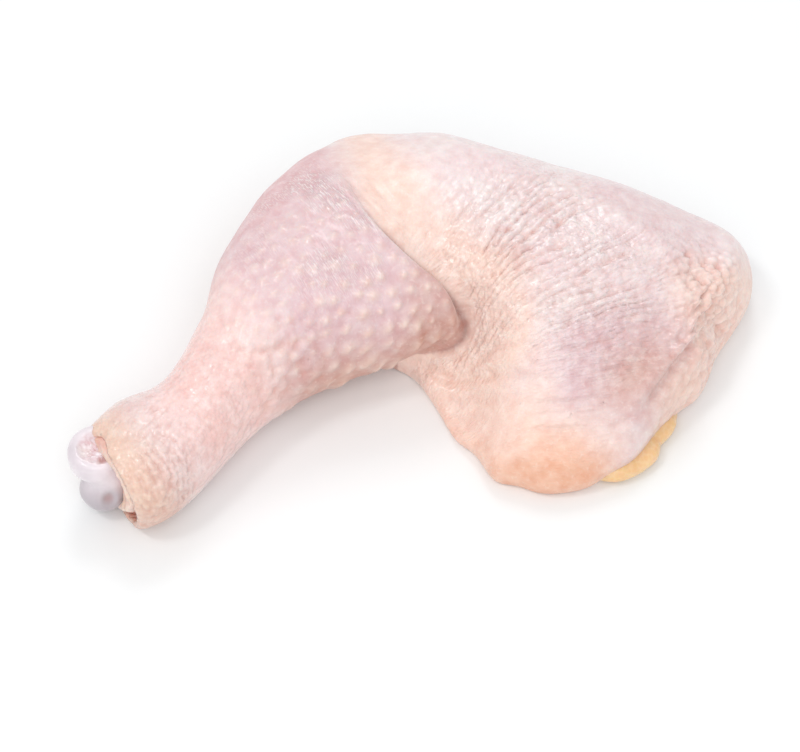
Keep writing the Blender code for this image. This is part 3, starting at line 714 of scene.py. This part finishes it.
# Painted shade in the crease, strongest at its bottom and fading out onto both sides.
crease_shade_reach = np.where(off_crease > 0, np.exp(-off_crease / 1.3), np.exp(-((off_crease / 0.6) ** 2)))
from_bone = np.hypot(across / HOLLOW_HALF[0], (z - HOCK[2]) / HOLLOW_HALF[1])
masks = {
    "cream": bumps,
    # Painted shade in the hollows of the relief, from how deep each point lies.
    "valley_shade": (-fields - 0.3) / 1.2,
    "peach": beside_crease + rim + mound(x, y, *HIP_PEACH) + mound(x, y, *FLAP_PEACH),
    "flap": flap,
    # Lavender where meat shows through, and painted shade on the back of the thigh.
    "lavender": on_meat + (mound(x, y, *THIGH_LAVENDER) + mound(x, y, *BACK_SHADE_LAVENDER)) * (1 - flap),
    "flush": drumstick * mound(from_hock, 0, FLUSH_AT, 0, FLUSH_HALF_WIDTH, 1, 0),
    "mauve": drumstick * mound(x, y, *KNEE_MAUVE),
    # Tan on the lobe and the thigh's lower edge, and painted shade on the drumstick's low side.
    "tan_and_low_shade": drumstick * (shaded_low_side + mound(x, y, *LOBE_TAN)) + mound(x, y, *EDGE_TAN) * (1 - flap),
    "glitter": upper * mound(x, y, *WET_GRAINS),
    "lip": mound(x, y, *LIP_ORANGE) + 0.3 * ramp(-inward, -5, -0.5) * flap * ramp(-y, 14, 30),
    # Painted shade in the crease, as deep as the skin dips there.
    "deep": 0.4 * dip * crease_shade_reach,
    # Painted highlight: a thin pale line along the drumstick's edge beside the crease.
    "edge": drumstick * np.exp(-(((off_crease + 1.1) / 0.55) ** 2)) * ramp(x, -18, -10) * ramp(z, 20, 28),
    "ankle": drumstick * ramp(-from_hock, -22, -3) * (0.35 + 0.65 * ramp(-z, -24, -7)),
    "cuff": drumstick * ramp(-from_hock, -13, -1) * (1 - 0.8 * ramp(-z, -20, -8)),
    "raw": ramp(-from_bone, -1.08, -1.0) * ramp(out, -7.0, -6.0) * ramp(-out, -0.5, 1.0),
    "wrinkled": on_fan + thigh_side * upper * 0.35,
    "grain": drumstick * ramp(-from_hock, -52, -34),
    "fibre_sheen": drumstick * mound(x, y, *FIBRE_SHEEN),
}
for name, values in masks.items():
    add_mask(skin, name, values)
fan_grain = skin.data.attributes.new("fan", "FLOAT_VECTOR", "POINT")
fan_grain.data.foreach_set("vector", (fan / FAN_GRAIN).ravel())

underside = skin.vertex_groups.new(name="underside")
underside.add(np.arange(len(points)).tolist(), SHARE_OF_UPPER_SKIN, "REPLACE")
underside.add(np.nonzero(z < UNDERSIDE)[0].tolist(), 1.0, "REPLACE")
skin.data.calc_loop_triangles()
thinner = skin.modifiers.new("fewer faces", "DECIMATE")
thinner.ratio = min(1.0, SKIN_TRIANGLES / len(skin.data.loop_triangles))
thinner.vertex_group = "underside"
thinner.vertex_group_factor = 1.0
apply_modifiers(skin)
skin.data.shade_smooth()


def fill(node, inputs):
    """Links each of these inputs of a node to its Socket, or sets it to its value."""
    for name, value in inputs.items():
        if isinstance(value, Socket):
            value.tree.links.new(value.socket, node.inputs[name])
        else:
            node.inputs[name].default_value = value


class Socket:
    """A socket of a material's nodes. Arithmetic on it adds Math nodes, and node() adds any other node."""

    def __init__(self, tree, socket):
        self.tree = tree
        self.socket = socket

    def node(self, kind, settings=None, inputs=None, output=0):
        """Adds a node, makes its settings, then sets or links its sockets, and returns one of its outputs."""
        new = self.tree.nodes.new("ShaderNode" + kind)
        for name, value in (settings or {}).items():
            setattr(new, name, value)
        fill(new, inputs or {})
        return Socket(self.tree, new.outputs[output])

    def math(self, operation, first, second=0.0, clamp=False):
        """A Math node over two values."""
        return self.node("Math", {"operation": operation, "use_clamp": clamp}, {0: first, 1: second})

    def __add__(self, other):
        return self.math("ADD", self, other)

    def __sub__(self, other):
        return self.math("SUBTRACT", self, other)

    def __rsub__(self, other):
        return self.math("SUBTRACT", other, self)

    def __mul__(self, other):
        return self.math("MULTIPLY", self, other)

    __radd__ = __add__
    __rmul__ = __mul__

    def plain(self, colour):
        """A colour by itself."""
        held = self.node("RGB")
        held.socket.default_value = colour
        return held

    def mask(self, name):
        """The number from 0 to 1 that is stored under this name at the piece's points."""
        return self.node("Attribute", {"attribute_name": name}, output=2)

    def clouds(self, scale, detail):
        """Smooth noise over these places."""
        return self.node("TexNoise", {}, {"Vector": self, "Scale": scale, "Detail": detail})

    def cells(self, scale):
        """Distance from these places to the nearest of evenly scattered points."""
        return self.node("TexVoronoi", {}, {"Vector": self, "Scale": scale})

    def bumps(self, strength, distance):
        """The surface's direction under this height, in units of a distance in metres."""
        return self.node("Bump", {}, {"Strength": strength, "Distance": distance, "Height": self})

    def clamped(self):
        """The value held between 0 and 1."""
        return self.math("ADD", self, 0.0, clamp=True)

    def tinted(self, colour, share):
        """This colour mixed towards another by a share from 0 to 1."""
        return self.node("Mix", {"data_type": "RGBA"}, {0: share, 6: self, 7: colour}, output=2)


def linear(red, green, blue):
    """The colour of these 0 to 255 screen values as linear light, with an alpha of 1."""
    screen = np.array((red, green, blue)) / 255
    light = np.where(screen < 0.04045, screen / 12.92, ((screen + 0.055) / 1.055) ** 2.4)
    return (*light.tolist(), 1.0)


def new_material(name):
    """A material with its Principled shader, and a Socket that holds its Object coordinates."""
    material = bpy.data.materials.new(name)
    material.use_nodes = True
    tree = material.node_tree
    coordinates = tree.nodes.new("ShaderNodeTexCoord")
    return material, tree.nodes["Principled BSDF"], Socket(tree, coordinates.outputs["Object"])


def skin_material():
    """Moist raw skin: pale pink, lavender where meat shows through, peach over fat, cream on goose bumps,
    with painted shade in the crease, hollows, grooves, on the back of the thigh and the drumstick's low side,
    and painted highlights and sheen on ridges, edge and strands.
    """
    material, shader, place = new_material("skin")
    mask = {name: place.mask(name) for name in masks}
    wrinkled, grain, glitter = mask["wrinkled"], mask["grain"], mask["glitter"]
    fan = place.node("Attribute", {"attribute_name": "fan"}, output=1)
    patch = place.clouds(70.0, 3.0)
    blotch = (patch * 2.2 - 0.6).clamped()
    mottle = (place.clouds(300.0, 3.0) * 2.6 - 0.8).clamped()
    speck = place.clouds(900.0, 2.0)
    creases = fan.cells(1.0) * wrinkled
    folds = fan.clouds(0.45, 3.0)
    pebble = place.cells(760.0)
    granule = place.cells(1000.0)
    along = {"Vector": place, "Rotation": (0.0, 0.0, np.radians(-58)), "Scale": (0.014, 0.0016, 0.004)}
    drawn_out = place.node("Mapping", {"vector_type": "TEXTURE"}, along)
    on_fibre_sheen = mask["fibre_sheen"] * (patch * 5.0 - 2.1).clamped()
    strand = (drawn_out.clouds(5.0, 3.0) * 8.0 - 3.8).clamped() * on_fibre_sheen

    colour = place.plain(linear(*SKIN_BASE)).tinted(linear(*SKIN_BLOTCH), blotch)
    for name, tint, share, blotch_share in SKIN_TINTS:
        colour = colour.tinted(linear(*tint), mask[name] * (blotch * blotch_share + share))
    fine_tints = (
        # Painted shade in the relief's hollows, less of it on peach skin.
        (VALLEY_SHADE_COLOUR, mask["valley_shade"] * (0.6 - mask["peach"] * 0.25)),
        # Painted shade in the crease.
        (CREASE_SHADE_COLOUR, mask["deep"]),
        (RAW_COLOUR, mask["raw"]),
        (BUMP_COLOUR, mask["cream"] * 0.55),
        # Whitish strands over the drumstick, partly painted sheen.
        (STRAND_SHEEN_COLOUR, strand * 0.9),
        # Painted highlight along the drumstick's edge at the crease.
        (PALE_SKIN_AND_HIGHLIGHT, mask["edge"] * 0.5),
        # Painted shade in the grooves between the fan's wrinkle cells, less where the skin is wet and grainy.
        (DARK_SKIN_AND_GROOVE_SHADE, (creases * 1.3 - 0.45).clamped() * (0.45 - glitter * 0.3)),
        # Painted highlights on the ridges of the wrinkles.
        (PALE_SKIN_AND_HIGHLIGHT, (folds * 3.2 - 1.7).clamped() * wrinkled * 0.5),
        # Painted shade between the shank's pebbles.
        (DARK_SKIN_AND_GROOVE_SHADE, (pebble * 2.0 - 0.9).clamped() * grain * 0.3),
        (DARK_SKIN_AND_GROOVE_SHADE, (1.0 - mottle) * 0.22),
        (PALE_SKIN_AND_HIGHLIGHT, mottle * 0.22),
        (PALE_SKIN_AND_HIGHLIGHT, (speck * 5.0 - 2.8).clamped() * 0.2),
    )
    for tint, share in fine_tints:
        colour = colour.tinted(linear(*tint), share)

    relief = folds * wrinkled - creases * 1.1 - pebble * (grain * 0.8 + 0.15) + strand * 0.5
    relief = relief + speck * 0.35 + mottle * 0.2 - granule * glitter * 1.1
    film = wrinkled * 0.9 + glitter + mask["fibre_sheen"] * 0.4 + mask["cream"] * 0.6 + grain * 0.7 + 0.08
    finish = {
        "Base Color": colour,
        "Normal": relief.bumps(0.8, 0.0004),
        "Roughness": mask["peach"] * 0.25 - wrinkled * 0.1 + 0.45,
        "Coat Weight": film.clamped(),
        "Coat Roughness": 0.2,
        "Specular IOR Level": 0.35,
        "Subsurface Weight": 0.12,
        "Subsurface Radius": (1.0, 0.45, 0.3),
        "Subsurface Scale": 0.001,
    }
    fill(shader, finish)
    return material


skin.data.materials.clear()
skin.data.materials.append(skin_material())
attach(skin, "root")
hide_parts("leg_quarter")

# ---------------------------------------------------------------------------------------------------------
# Knuckle. The end of the shank bone: two rollers of smooth bluish cartilage, one above the other, with a
# saddle between them and a dish in the upper one where the ligament was fixed. It is one with its bone.

KNUCKLE_MIDDLE = (-80.0, -49.0, 13.5)
# The upper roller is a disc that lies flat: middle and half sizes, then how square its rim is. The lower one
# and the saddle behind them are round.
DISC = ((-80.4, -47.6, 18.4), (7.4, 7.5, 4.9))
DISC_POWER = 3.0
ROUNDS = (
    ((-79.4, -51.2, 7.8), (6.3, 6.2, 5.8)),
    ((-77.4, -49.6, 12.5), (5.4, 5.6, 6.5)),
)
KNUCKLE_BLEND = 0.9
# The dish in the disc's top, and the small hole low on the front.
DISH = ((-79.3, -48.3, 24.3), (5.9, 5.5, 3.4))
HOLE = ((-77.2, -56.9, 10.6), (1.5, 1.6, 1.9))
# The dark mark in the dish: middle x and y, half length, half width, turn and strength.
MARK = (-78.0, -51.5, 1.8, 1.2, 30.0, 0.8)
# Screen colours: the cartilage, its clouds and lower side, the tissue and its pale strands, hole and mark.
CARTILAGE_COLOURS = ((234, 224, 229), (214, 204, 210), (184, 175, 181))
TISSUE_COLOURS = ((214, 176, 180), (240, 228, 224))
HOLE_COLOUR = (176, 120, 116)
MARK_COLOUR = (170, 110, 104)


def past_ellipsoid(points, middle, half, power=2.0):
    """Roughly how far each point is outside an ellipsoid, or a disc with a rounded rim where the power is
    above 2: mean half size times ((flat distance^power + height^power)^(1 / power) - 1), with the distance
    and the height as shares of the half sizes."""
    scaled = (points - middle) / half
    flat = np.hypot(scaled[..., 0], scaled[..., 1])
    return np.mean(half) * ((flat**power + np.abs(scaled[..., 2]) ** power) ** (1 / power) - 1)


def past_knuckle(points):
    """How far each point is outside the knuckle: the smooth least of its forms' distances, -b log(sum of
    exp(-distance / b)), and the smooth greatest of that and the two dents' negative distances."""
    forms = [past_ellipsoid(points, *DISC, DISC_POWER)] + [past_ellipsoid(points, *form) for form in ROUNDS]
    solid = -KNUCKLE_BLEND * np.log(sum(np.exp(-form / KNUCKLE_BLEND) for form in forms))
    for dent in (DISH, HOLE):
        beyond = -past_ellipsoid(points, *dent)
        solid = KNUCKLE_BLEND * np.logaddexp(solid / KNUCKLE_BLEND, beyond / KNUCKLE_BLEND)
    return solid


def knuckle_rings(sides=180, steps=110):
    """Rings from the lowest to the highest point. Along each direction from the middle, the distance to the
    surface is found by halving the range in which past_knuckle changes from inside to outside."""
    directions = ellipsoid_rings((0, 0, 0), (1, 1, 1), sides, steps)
    near, far = np.zeros(directions.shape[:2]), np.full(directions.shape[:2], 20.0)
    for _ in range(24):
        middle = (near + far) / 2
        outside = past_knuckle(KNUCKLE_MIDDLE + directions * middle[..., None]) > 0
        near, far = np.where(outside, near, middle), np.where(outside, middle, far)
    return KNUCKLE_MIDDLE + directions * near[..., None]


knuckle = add_piece("knuckle_surface", loft(knuckle_rings()))
points = points_of(knuckle)
in_dish = ramp(-past_ellipsoid(points, *DISH), -0.9, 0.1)
in_hole = ramp(-past_ellipsoid(points, *HOLE), -0.6, 0.2)
tissue = 0.45 * noise(points / 1.3, 31) + 0.3 * noise(points / 0.6, 32)
points += normals_of(knuckle) * (in_dish * tissue + 0.12 * noise(points / 4.0, 33))[:, None]
set_points(knuckle, points)
x, y, z = points.T
add_mask(knuckle, "tissue", in_dish)
add_mask(knuckle, "hole", in_hole)
add_mask(knuckle, "low", ramp(-z, -16.0, -8.0))
add_mask(knuckle, "mark", mound(x, y, *MARK))
knuckle.data.shade_smooth()


def cartilage_material():
    """Bluish white cartilage, faintly violet, greyer below, with pink and cream tissue in the dish."""
    material, shader, place = new_material("cartilage")
    cloud, strand = place.clouds(160.0, 3.0), place.clouds(700.0, 3.0)
    plain, clouded, lower = (linear(*colour) for colour in CARTILAGE_COLOURS)
    pink, cream = (linear(*colour) for colour in TISSUE_COLOURS)
    base = place.plain(plain)
    fleshy = base.tinted(pink, (strand * 3.0 - 1.1).clamped()).tinted(cream, (cloud * 3.0 - 1.4).clamped())
    colour = base.tinted(clouded, (cloud * 2.4 - 0.8).clamped()).tinted(lower, place.mask("low"))
    colour = colour.tinted(fleshy, place.mask("tissue")).tinted(linear(*HOLE_COLOUR), place.mask("hole"))
    finish = {
        "Base Color": colour.tinted(linear(*MARK_COLOUR), place.mask("mark")),
        "Normal": strand.bumps(0.2, 0.0003),
        "Roughness": 0.3,
        "Coat Weight": 0.5,
        "Coat Roughness": 0.12,
        "Subsurface Weight": 0.25,
        "Subsurface Radius": (0.8, 0.7, 0.8),
        "Subsurface Scale": 0.002,
    }
    fill(shader, finish)
    return material


def dress(piece, material, node):
    """Gives the piece its material, hangs it under the root and hides the imported part of this node."""
    piece.data.materials.clear()
    piece.data.materials.append(material)
    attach(piece, "root")
    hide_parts(node)


dress(knuckle, cartilage_material(), "knuckle")

# ---------------------------------------------------------------------------------------------------------
# Shank meat. What fills the cut end round the bone: a pale membrane that stands up against the knuckle, and
# the meat behind it, drawn back from the skin on the inner side so that a dark slit is left.

# Half sizes of the cut face, and how far its middle and the ring behind it lie in from the opening.
MEAT_HALF = (12.5, 11.5)
MEAT_INSET = 0.6
MEAT_BACK = 6.0
# Where the cuff and the slit lie and how wide they are, as shares of the face, and their height and depth.
CUFF_AT = 0.72
CUFF_WIDTH = 0.2
CUFF_HEIGHT = 2.6
SLIT_AT = 0.95
SLIT_WIDTH = 0.14
SLIT_DEPTH = 4.0
SLIT_TURN = -50.0
# Screen colours: the meat, the membrane over it, and the streaks of fat and pale tissue in that.
MEAT_COLOURS = ((236, 160, 146), (238, 210, 196), (226, 170, 110), (246, 228, 214))


def meat_rings(sides=160, steps=60):
    """Rings from the middle of the cut face to its edge, then one behind it: out of the opening by a cuff,
    height exp(-((r - at) / width)^2), less a slit of the same form, deepest at one turn round the face."""
    radius = np.linspace(0.02, 1.0, steps)[:, None]
    turn = np.linspace(0, 2 * np.pi, sides, endpoint=False)[None]
    ragged = 0.05 * np.sin(5 * turn + 1) + 0.03 * np.sin(11 * turn)
    cuff = CUFF_HEIGHT * np.exp(-(((radius - CUFF_AT - ragged) / CUFF_WIDTH) ** 2))
    facing = np.clip(np.cos(turn - np.radians(SLIT_TURN)), 0, 1) ** 0.7
    slit = SLIT_DEPTH * facing * np.exp(-(((radius - SLIT_AT) / SLIT_WIDTH) ** 2))
    out = cuff * (0.5 + 0.5 * facing) - slit - MEAT_INSET
    across, up = MEAT_HALF[0] * radius * np.cos(turn), MEAT_HALF[1] * radius * np.sin(turn)
    face = at_hock(out, across, up)
    behind = at_hock(-MEAT_BACK, across[-1:], up[-1:])
    return np.concatenate([face, behind])


meat = add_piece("shank_meat_surface", loft(meat_rings()))
points = points_of(meat)
points += normals_of(meat) * (0.25 * noise(points / 2.2, 41) + 0.15 * noise(points / 0.9, 42))[:, None]
set_points(meat, points)
add_mask(meat, "membrane", ramp(from_hock_middle(points)[0], -1.6, 0.4))
meat.data.shade_smooth()


def meat_material():
    """Cream membrane with yellow streaks of fat, over pink raw meat in the slit."""
    material, shader, place = new_material("shank meat")
    cloud, streak = place.clouds(260.0, 4.0), place.clouds(520.0, 2.0)
    raw, membrane, fatty, pale = (linear(*colour) for colour in MEAT_COLOURS)
    colour = place.plain(raw).tinted(membrane, place.mask("membrane"))
    colour = colour.tinted(fatty, (cloud * 4.0 - 2.1).clamped() * 0.5)
    finish = {
        "Base Color": colour.tinted(pale, (streak * 4.0 - 2.2).clamped() * 0.6),
        "Normal": streak.bumps(0.3, 0.0003),
        "Roughness": 0.38,
        "Coat Weight": 0.5,
        "Coat Roughness": 0.15,
        "Subsurface Weight": 0.2,
        "Subsurface Radius": (1.0, 0.4, 0.25),
        "Subsurface Scale": 0.0015,
    }
    fill(shader, finish)
    return material


dress(meat, meat_material(), "shank_meat")

# ---------------------------------------------------------------------------------------------------------
# Fat. Soft yellow fat from inside the thigh that bulges out under the skin's trimmed edge in two lobes.

# x, y, half width and height along the fat's middle line.
FAT_SECTIONS = (
    (44.0, -39.0, 2.0, 3.0),
    (50.0, -39.8, 5.5, 5.0),
    (55.5, -39.0, 6.3, 6.0),
    (60.2, -35.9, 5.8, 6.3),
    (62.4, -32.2, 4.5, 5.9),
    (65.4, -27.8, 5.4, 6.1),
    (67.8, -22.0, 4.0, 5.0),
    (69.5, -16.5, 1.8, 3.0),
)
# Screen colours: the fat, its folds and its pale grains.
FAT_COLOURS = ((238, 200, 152), (232, 180, 122), (248, 224, 186))


def fat_rings(sides=72, steps=20):
    """Oval rings square to the fat's middle line, as wide and high as its sections say."""
    rows = smooth_rows(FAT_SECTIONS, steps)
    across, up = oval(sides, 2.2)
    along = np.gradient(rows[:, :2], axis=0)
    along /= np.linalg.norm(along, axis=1)[:, None]
    side = np.column_stack([along[:, 1], -along[:, 0]])
    rings = np.empty((len(rows), sides, 3))
    rings[:, :, :2] = rows[:, None, :2] + side[:, None] * (rows[:, 2:3] * across[None])[:, :, None]
    rings[:, :, 2] = rows[:, 3:4] / 2 * (1 + up[None])
    return rings


fat = add_piece("fat_surface", loft(fat_rings()))
points = points_of(fat)
points += normals_of(fat) * (0.45 * noise(points / 6.0, 61) + 0.12 * noise(points / 1.8, 62))[:, None]
points[:, 2] = np.maximum(points[:, 2], 0)
set_points(fat, points)
fat.data.shade_smooth()


def fat_material():
    """Soft translucent fat, pale yellow where it is thick and more orange in its folds."""
    material, shader, place = new_material("fat")
    grain = place.cells(900.0)
    plain, folded, pale = (linear(*colour) for colour in FAT_COLOURS)
    colour = place.plain(plain).tinted(folded, (place.clouds(110.0, 3.0) * 3.0 - 1.2).clamped())
    finish = {
        "Base Color": colour.tinted(pale, (grain * 1.5 - 0.6).clamped() * 0.4),
        "Normal": grain.bumps(0.2, 0.0003),
        "Roughness": 0.34,
        "Coat Weight": 0.4,
        "Coat Roughness": 0.18,
        "Subsurface Weight": 0.35,
        "Subsurface Radius": (1.0, 0.6, 0.25),
        "Subsurface Scale": 0.003,
    }
    fill(shader, finish)
    return material


dress(fat, fat_material(), "thigh_fat")

# ---------------------------------------------------------------------------------------------------------
# Floor and light. A plain pale floor under a soft white sky, with lights on the left, behind and in front.
# The camera looks down at 55 degrees, from 0.6 m away.

FLOOR_HALF = 2
FLOOR_COLOUR = (0.885, 0.9, 0.905, 1)
SKY_STRENGTH = 0.72
# Place, size and power of the square soft lights, which face the middle of the leg.
LIGHTS = {
    "left": ((-0.6, -0.2, 1.2), 0.25, 2.5),
    "back": ((0.0, 0.8, 1.1), 0.4, 2.8),
    "front": ((0.0, -0.8, 1.0), 1.0, 5.0),
}
CAMERA_PLACE = (-0.00615, -0.35729, 0.49568)
CAMERA_TILT = 35
LENS = 100

floor_mesh = bpy.data.meshes.new("floor")
corners = [(FLOOR_HALF * x, FLOOR_HALF * y, 0) for x, y in ((-1, -1), (1, -1), (1, 1), (-1, 1))]
floor_mesh.from_pydata(corners, [], [(0, 1, 2, 3)])
floor = bpy.data.objects.new("floor", floor_mesh)
bpy.context.scene.collection.objects.link(floor)
floor_material, floor_shader, _ = new_material("floor")
fill(floor_shader, {"Base Color": FLOOR_COLOUR, "Roughness": 0.8})
floor_mesh.materials.append(floor_material)

world = bpy.data.worlds.new("studio")
world.use_nodes = True
fill(world.node_tree.nodes["Background"], {"Color": (1, 1, 1, 1), "Strength": SKY_STRENGTH})
bpy.context.scene.world = world

for name, (place, size, power) in LIGHTS.items():
    light_data = bpy.data.lights.new(name, "AREA")
    light_data.size = size
    light_data.energy = power
    light = bpy.data.objects.new(name, light_data)
    light.location = place
    light.rotation_euler = (-light.location).to_track_quat("-Z", "Y").to_euler()
    bpy.context.scene.collection.objects.link(light)

camera_data = bpy.data.cameras.new("camera")
camera_data.lens = LENS
camera_data.sensor_width = 36
camera = bpy.data.objects.new("camera", camera_data)
camera.location = CAMERA_PLACE
camera.rotation_euler = (np.radians(CAMERA_TILT), 0, 0)
bpy.context.scene.collection.objects.link(camera)
bpy.context.scene.camera = camera
bpy.context.scene.view_settings.view_transform = "Standard"
